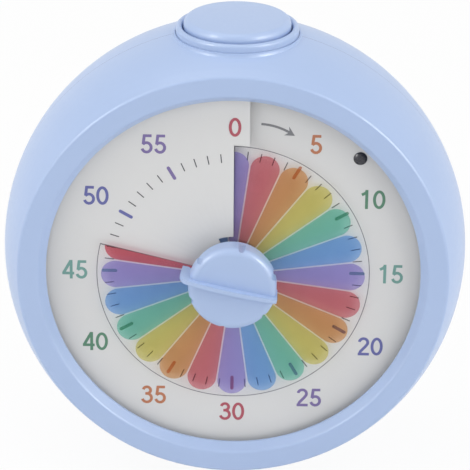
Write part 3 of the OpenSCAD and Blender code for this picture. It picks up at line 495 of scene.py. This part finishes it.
def collect(name, parts, materials, body, lift):
    """Joins flat parts, each with points, faces, a material index and a rise, into one thin closed piece."""
    mesh = bpy.data.meshes.new(name)
    builder = bmesh.new()
    for points, faces, index, rise in parts:
        top = [builder.verts.new(row(x, y, lift(x, y) + INK_UP + INK_THICK + rise)) for x, y in points]
        low = [builder.verts.new(row(x, y, lift(x, y) + INK_UP)) for x, y in points]
        # An edge inside the part is met once in each direction, so what stays is the outline
        outline = {}
        for face in faces:
            for i, j in zip(face, face[1:] + face[:1]):
                if outline.pop((j, i), None) is None:
                    outline[(i, j)] = True
            builder.faces.new([top[i] for i in face]).material_index = index
            builder.faces.new([low[i] for i in reversed(face)]).material_index = index
        for i, j in outline:
            builder.faces.new([top[j], top[i], low[i], low[j]]).material_index = index
    bmesh.ops.recalc_face_normals(builder, faces=builder.faces)
    builder.to_mesh(mesh)
    builder.free()
    add_piece(mesh, materials, body)
    print(name, len(parts), "marks,", len(mesh.polygons), "faces")


def on_dial(x, y):
    """Height of the dial under a point; the raised tab at the slit is nearly level with the high end."""
    if TAB_LEFT <= x <= TAB_RIGHT and y > TAB_FROM:
        return TAB_TOP
    return dial_z(math.degrees(math.atan2(x, y)) % 360)


print("tab top", TAB_TOP, "mm, dial at 12 and 6 o'clock", dial_z(360), dial_z(180))

# %% [markdown]
# ## Ticks and turning arrow
# A tick is a short bar with round ends that points at the axis. Every fifth one is wide and
# coloured like its number. The arrow beside the 0 shows which way to wind: a bent bar with a
# head. Each is one flat outline, which is all that print needs.

# %% Ticks and arrow
ROUND_STEPS = 6
DEG_PER_MINUTE = 6
# Inner end, outer end and width of the two kinds of tick, in mm
MINUTE_TICK = (35.2, 38.0, 0.32)
FIVE_TICK = (34.05, 38.7, 1.0)


def tick(degrees, low, high, width, index):
    """A bar with round ends along a radius."""
    half = width / 2
    lean = math.radians(degrees)
    points = []
    for end, start in ((high - half, 0), (low + half, 180)):
        for k in range(ROUND_STEPS + 1):
            turn = math.radians(start + 180 * k / ROUND_STEPS)
            x, y = half * math.cos(turn), end + half * math.sin(turn)
            points.append((x * math.cos(lean) + y * math.sin(lean), y * math.cos(lean) - x * math.sin(lean)))
    return points, [list(range(len(points)))], index, 0


tick_inks = [INKS[name] for name in INK_ORDER] + [INKS["dark"]]
DARK = len(INK_ORDER)
ticks = []
for minute in range(1, 60):
    if minute % 5:
        ticks.append(tick(DEG_PER_MINUTE * minute, *MINUTE_TICK, DARK))
    else:
        ticks.append(tick(DEG_PER_MINUTE * minute, *FIVE_TICK, minute // 5 % len(INK_ORDER)))
collect("dial_ticks", ticks, tick_inks, "housing", on_dial)

ARROW_CENTRE, ARROW_R, ARROW_W = (6.65, 28.3), 18.2, 0.72
STEM_FROM, STEM_TO, STEM_STEPS = 3, 31, 8
# Each corner of the head: how far beside the arc, in mm, and where along it, in degrees
ARROW_HEAD = ((0, 36), (1.55, 27), (0.36, 29.3), (-0.36, 29.3), (-1.55, 27))
HEAD_FACES = [[0, 2, 1], [0, 3, 2], [0, 4, 3]]


def arrow_point(aside, degrees):
    """A point beside the arrow's arc, which bends more than the dial does."""
    x, y = clock(ARROW_R + aside, degrees)
    return ARROW_CENTRE[0] + x, ARROW_CENTRE[1] + y


stem, quads = [], []
for k in range(STEM_STEPS + 1):
    at = STEM_FROM + (STEM_TO - STEM_FROM) * k / STEM_STEPS
    stem += [arrow_point(ARROW_W / 2, at), arrow_point(-ARROW_W / 2, at)]
for k in range(STEM_STEPS):
    quads.append([2 * k, 2 * k + 1, 2 * k + 3, 2 * k + 2])
head = [arrow_point(aside, at) for aside, at in ARROW_HEAD]
arrow = [(stem, quads, 0, 0), (head, HEAD_FACES, 0, OVERLAP_RISE)]
collect("turn_arrow", arrow, [INKS["grey"]], "housing", on_dial)

# %% [markdown]
# ## Numbers
# The numbers stand upright on a ring, 6 mm high, in a plain sans-serif of even stroke. A font
# could draw them, but only six digits are needed, so each is a few pen strokes: a list of
# centre points that gets the pen's width. That keeps every edge clean and the weight like the
# photograph's.

# %% Digits as pen strokes
PEN = 0.86
DIGIT_W, DIGIT_H, DIGIT_STEP = 3.5, 6.0, 3.9
SAME_POINT = 1e-6


def bow(x, y, rx, ry, start, end, steps=14):
    """Points of an ellipse's arc, in degrees."""
    out = []
    for k in range(steps + 1):
        turn = math.radians(start + (end - start) * k / steps)
        out.append((x + rx * math.cos(turn), y + ry * math.sin(turn)))
    return out


DIGITS = {
    "0": [bow(1.75, 3.0, 1.38, 2.50, 90, 450, 32)],
    "1": [[(2.0, 0.0), (2.0, 6.0)], [(2.1, 5.62), (1.55, 4.95), (0.55, 4.42)]],
    "2": [bow(1.72, 4.28, 1.25, 1.26, 172, -28) + [(2.3, 2.95), (1.5, 2.05), (0.85, 1.3), (0.6, 0.4)],
          [(0.08, 0.45), (3.42, 0.45)]],
    "3": [bow(1.68, 4.42, 1.10, 1.12, 168, -88) + [(1.2, 3.3)],
          [(1.2, 3.28)] + bow(1.68, 1.86, 1.38, 1.42, 88, -166)],
    "4": [[(2.62, 0.0), (2.62, 6.0)], [(0.0, 1.75), (3.5, 1.75)], [(2.5, 5.75), (0.35, 1.75)]],
    "5": [[(0.86, 5.55), (3.2, 5.55)], [(1.12, 5.9), (0.74, 2.86)], bow(1.72, 1.92, 1.34, 1.48, 142, -164)],
}


def stroke(line, width):
    """A pen stroke along a line of points, as left and right points and the faces between them."""
    points, closed = [], math.dist(line[0], line[-1]) < SAME_POINT
    for i, (x, y) in enumerate(line):
        before = line[i - 1] if i else (line[-2] if closed else None)
        after = line[i + 1] if i + 1 < len(line) else (line[1] if closed else None)
        sides = []
        for (x1, y1), (x2, y2) in [pair for pair in ((before, (x, y)), ((x, y), after)) if None not in pair]:
            length = math.hypot(x2 - x1, y2 - y1)
            sides.append(((y1 - y2) / length, (x2 - x1) / length))
        nx, ny = (sum(v) / len(sides) for v in zip(*sides))
        reach = width / 2 / (nx * nx + ny * ny)
        points += [(x + nx * reach, y + ny * reach), (x - nx * reach, y - ny * reach)]
    return points, [[2 * i, 2 * i + 1, 2 * i + 3, 2 * i + 2] for i in range(len(line) - 1)]


print("digits:", {name: len(lines) for name, lines in DIGITS.items()})

# %% Numbers on the ring
NUMBER_R, DIAGONAL_OUT = 46.25, 0.7
# The artwork sets its numbers by eye: these stand a little off the ring, in mm to the right and up
BY_EYE = {0: (0.1, 0), 5: (0.1, -0.1), 10: (-0.3, 0.2), 20: (0.35, -0.2), 25: (-0.35, -0.35), 30: (0, 0.3),
          35: (0, -0.2), 40: (-0.2, 0.1), 45: (-0.35, 0.1), 50: (0.35, 0.5), 55: (0, -0.1)}


def number(minute, index):
    """The strokes of a number, centred on its place on the ring; on the diagonals it stands further out."""
    text, at = str(minute), DEG_PER_MINUTE * minute
    x0, y0 = clock(NUMBER_R + DIAGONAL_OUT * abs(math.sin(math.radians(2 * at))), at)
    right, up = BY_EYE.get(minute, (0, 0))
    x0 += right - (DIGIT_W + DIGIT_STEP * (len(text) - 1)) / 2
    y0 += up - DIGIT_H / 2
    parts = []
    for place, digit in enumerate(text):
        left = x0 + DIGIT_STEP * place
        for layer, line in enumerate(DIGITS[digit]):
            points, faces = stroke([(x + left, y + y0) for x, y in line], PEN)
            parts.append((points, faces, index, OVERLAP_RISE * layer))
    return parts


numbers = []
for minute in range(0, 60, 5):
    numbers += number(minute, minute // 5 % len(INK_ORDER))
collect("dial_numbers", numbers, [INKS[name] for name in INK_ORDER], "housing", on_dial)

# %% [markdown]
# ## Clear film
# The film is a thin clear polyester sheet that was die-cut and wound into the same screw as the
# dial, so that it can climb out of the slit as the knob turns. The eye hardly sees the clear
# part: a little gloss, and a dark line where the cut edge bends the light. A glass shader would
# bend light too, but in a sheet this thin that can't be seen, so a low alpha is enough. The
# piece replaces the solid, in finer steps, and the colours are printed on it. Its free end goes
# slightly past the solid's, to where the photograph has it.

# %% Film
POINTER_DEG = 282.0
FILM_START_GAP, FILM_PAST = 0.6, 1.7
FILM_FROM = POINTER_DEG - 360 + FILM_START_GAP
FILM_TO = POINTER_DEG + FILM_PAST
FILM_R, FILM_HOLE_R = 40.1, 7.5
FILM_OVER_DIAL, FILM_THICK = 1.4, 0.2
FILM_TOP = FILM_OVER_DIAL + FILM_THICK
FILM_STEPS = 240
film_angles = [FILM_FROM + (FILM_TO - FILM_FROM) * k / FILM_STEPS for k in range(FILM_STEPS + 1)]


def film_strip(name, path, low, high, material):
    """A closed strip on the film, along clock angles with two radii, between two heights over the dial."""
    points, faces = [], []
    for at, inner, outer in path:
        for radius, height in ((inner, low), (outer, low), (outer, high), (inner, high)):
            points.append(row(*clock(radius, at), dial_z(at) + height))
    for k in range(len(path) - 1):
        for i in range(4):
            j = (i + 1) % 4
            faces.append((4 * k + i, 4 * k + j, 4 * k + 4 + j, 4 * k + 4 + i))
    faces += [(3, 2, 1, 0), tuple(4 * (len(path) - 1) + i for i in range(4))]
    mesh = bpy.data.meshes.new(name)
    mesh.from_pydata(points, [], faces)
    print(name, len(faces), "faces")
    return add_piece(mesh, [material], "film")


clear, tree = blank("polyester_film_clear")
skin = put(tree, "ShaderNodeBsdfPrincipled",
           {"Base Color": linear("#f4f4f6"), "Roughness": 0.12, "IOR": 1.57, "Alpha": 0.04})
put(tree, "ShaderNodeOutputMaterial", {"Surface": skin.outputs[0]})
sheet = [(at, FILM_HOLE_R, FILM_R) for at in film_angles]
film = film_strip("clear_film", sheet, FILM_OVER_DIAL, FILM_TOP, clear)
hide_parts("film_disc")
print("film from", round(FILM_FROM, 1), "to", FILM_TO, "degrees")

# %% [markdown]
# ## Coloured petals
# Petals in six colours, twenty-four to a turn, are screen-printed on the film, one for two and
# a half minutes. The inks are transparent: the ticks under the film show through them, and
# light goes through the colour twice, down to the white dial and back. A tinted Transparent
# shader does that, mixed with a little satin body colour for the ink's own surface. The layer
# is a closed mesh, so light crosses four tinted faces in all, and the tint is the fourth root
# of the colour that is seen. Light slips in under the film's free end; the petal there is
# printed in the same red, and gets a deeper copy of it as painted shade.

# %% Petal inks
INK_BODY, BODY_SPREAD = 0.10, 0.03
INK_PATCH_MM = 3.0
FACES_CROSSED = 4
# What the white dial sends back in this light
LIT_DIAL = linear("#cacaca")[0]


def petal_ink(name, seen, body):
    """A transparent screen ink: it tints what lies under it and adds a little colour of its own."""
    material, tree = blank("petal_" + name)
    place = put(tree, "ShaderNodeTexCoord")
    coat = put(tree, "ShaderNodeTexNoise",
               {"Vector": place.outputs["Object"], "Scale": 1 / (INK_PATCH_MM * MM), "Detail": 2.0})
    amount = put(tree, "ShaderNodeMapRange",
                 {"Value": coat.outputs["Fac"],
                  "To Min": INK_BODY - BODY_SPREAD, "To Max": INK_BODY + BODY_SPREAD})
    tint = [min(1.0, (c / LIT_DIAL / (1 - INK_BODY) ** 2) ** (1 / FACES_CROSSED)) for c in linear(seen)[:3]]
    through = put(tree, "ShaderNodeBsdfTransparent", {"Color": (*tint, 1.0)})
    skin = put(tree, "ShaderNodeBsdfPrincipled",
               {"Base Color": linear(body), "Roughness": 0.38, "IOR": 1.50})
    both = put(tree, "ShaderNodeMixShader",
               {0: amount.outputs["Result"], 1: through.outputs[0], 2: skin.outputs[0]})
    put(tree, "ShaderNodeOutputMaterial", {"Surface": both.outputs[0]})
    return material


PETALS = [
    petal_ink("purple", "#8980be", "#9288c4"),
    petal_ink("red", "#b3646b", "#bb6b73"),
    petal_ink("orange", "#b9865a", "#bc8a5a"),
    petal_ink("yellow", "#b7ae64", "#bab05f"),
    petal_ink("green", "#6aa998", "#6bb29f"),
    petal_ink("blue", "#6a90dd", "#6a9cf0"),
]
# A deeper copy of the red ink: painted shade for the petal at the film's free end
FREE_END_SHADE_INK = petal_ink("red_free_end_shade", "#ab4550", "#b45a63")
print("petal inks:", [m.name for m in PETALS])

# %% Petals on the film
PETAL_DEG = 15.0
PETAL_TIP = 38.75
PETAL_FROM = 8.6
PETAL_GAP = 0.22
PETAL_ROWS, CAP_ROWS, PETAL_COLUMNS = 12, 8, 6
TIP_HALF = 0.02
LEAST_WIDTH = 0.03
CUT_MARGIN = 0.15
# The print sits a little off the film's centre, in mm to the right and up
PRINT_OFF = (-0.05, -0.42)
wedge = math.radians(PETAL_DEG / 2)
cap_at = (PETAL_TIP + PETAL_GAP) / (1 + math.sin(wedge))
cap_r = PETAL_TIP - cap_at


def on_film(x, y, near):
    """Height of the film's upper face; near tells which turn of the screw a point belongs to."""
    degrees = math.degrees(math.atan2(x, y))
    while degrees < near - 180:
        degrees += 360
    while degrees > near + 180:
        degrees -= 360
    return dial_z(degrees) + FILM_TOP


def petal(middle):
    """One petal as a grid of points: straight sides to its round tip, cut at the ends of the film."""
    right, up = clock(1, middle)
    outward = PRINT_OFF[0] * right + PRINT_OFF[1] * up
    onward = PRINT_OFF[0] * up - PRINT_OFF[1] * right
    first = math.radians(FILM_FROM - middle)
    last = math.radians(FILM_TO - middle)
    along = [PETAL_FROM + (cap_at - PETAL_FROM) * i / PETAL_ROWS for i in range(PETAL_ROWS)]
    along += [cap_at + cap_r * math.sin(math.radians(90 * i / CAP_ROWS)) for i in range(CAP_ROWS + 1)]
    points, faces = [], []
    for u in along:
        half = u * math.tan(wedge) - PETAL_GAP / math.cos(wedge)
        if u >= cap_at - cap_r * math.sin(wedge):
            half = math.sqrt(max(cap_r ** 2 - (u - cap_at) ** 2, 0))
        half = max(half, TIP_HALF)
        low, high = onward - half, onward + half
        u += outward
        # Only a petal near an end of the film is cut, along that end's radius
        if first > -2 * wedge:
            low = max(low, u * math.tan(first) + CUT_MARGIN)
        if last < 2 * wedge:
            high = min(high, u * math.tan(last) - CUT_MARGIN)
        if high - low < LEAST_WIDTH:
            break
        for j in range(PETAL_COLUMNS + 1):
            v = low + (high - low) * j / PETAL_COLUMNS
            points.append(clock(math.hypot(u, v), middle + math.degrees(math.atan2(v, u))))
    wide = PETAL_COLUMNS + 1
    for i in range(len(points) // wide - 1):
        for j in range(PETAL_COLUMNS):
            faces.append([i * wide + j, i * wide + j + 1, (i + 1) * wide + j + 1, (i + 1) * wide + j])
    return points, faces


first_petal = math.floor(FILM_FROM / PETAL_DEG + 0.5)
last_petal = math.floor(FILM_TO / PETAL_DEG + 0.5)
for k in range(first_petal, last_petal + 1):
    middle = PETAL_DEG * k
    # The last petal, at the free end, takes the red with painted shade
    petal_colour = FREE_END_SHADE_INK if k == last_petal else PETALS[k % len(PETALS)]
    collect(f"petal_{k - first_petal + 1:02d}", [(*petal(middle), 0, 0)], [petal_colour], "film",
            lambda x, y: on_film(x, y, middle))

# %% [markdown]
# ## Cut edge of the film
# A clear sheet is seen by its edge: the cut bends light away, so it reads as a thin dark line
# round the rim and along the end that follows the pointer. A fine dark line of painted shade
# on the film's upper face, just inside the cut, stands for that from every side.

# %% Film edge line
EDGE_W = 0.22
NICK_MM = 0.5
# The front line is as wide as the rim's at this radius, and starts this far from the hole
FRONT_MID_R, FRONT_IN = 25, 1

# Painted shade: a dark grey line for the light that the film's cut edge bends away
painted_edge_dark, tree = blank("film_cut_edge")
place = put(tree, "ShaderNodeTexCoord")
nick = put(tree, "ShaderNodeTexNoise", {"Vector": place.outputs["Object"], "Scale": 1 / (NICK_MM * MM)})
shade = put(tree, "ShaderNodeMix",
            {"Factor": nick.outputs["Fac"], "A": linear("#55555c"), "B": linear("#6c6c73")}, data_type="RGBA")
skin = put(tree, "ShaderNodeBsdfPrincipled",
           {"Base Color": shade.outputs["Result"], "Roughness": 0.3, "IOR": 1.57})
put(tree, "ShaderNodeOutputMaterial", {"Surface": skin.outputs[0]})

rim = [(at, FILM_R - EDGE_W, FILM_R) for at in film_angles]
front_from = FILM_TO - math.degrees(EDGE_W / FRONT_MID_R)
front = [(at, FILM_HOLE_R + FRONT_IN, FILM_R - EDGE_W) for at in (front_from, FILM_TO)]
for name, line in (("film_rim_line", rim), ("film_front_line", front)):
    film_strip(name, line, FILM_TOP + INK_UP, FILM_TOP + 2 * INK_UP, painted_edge_dark)
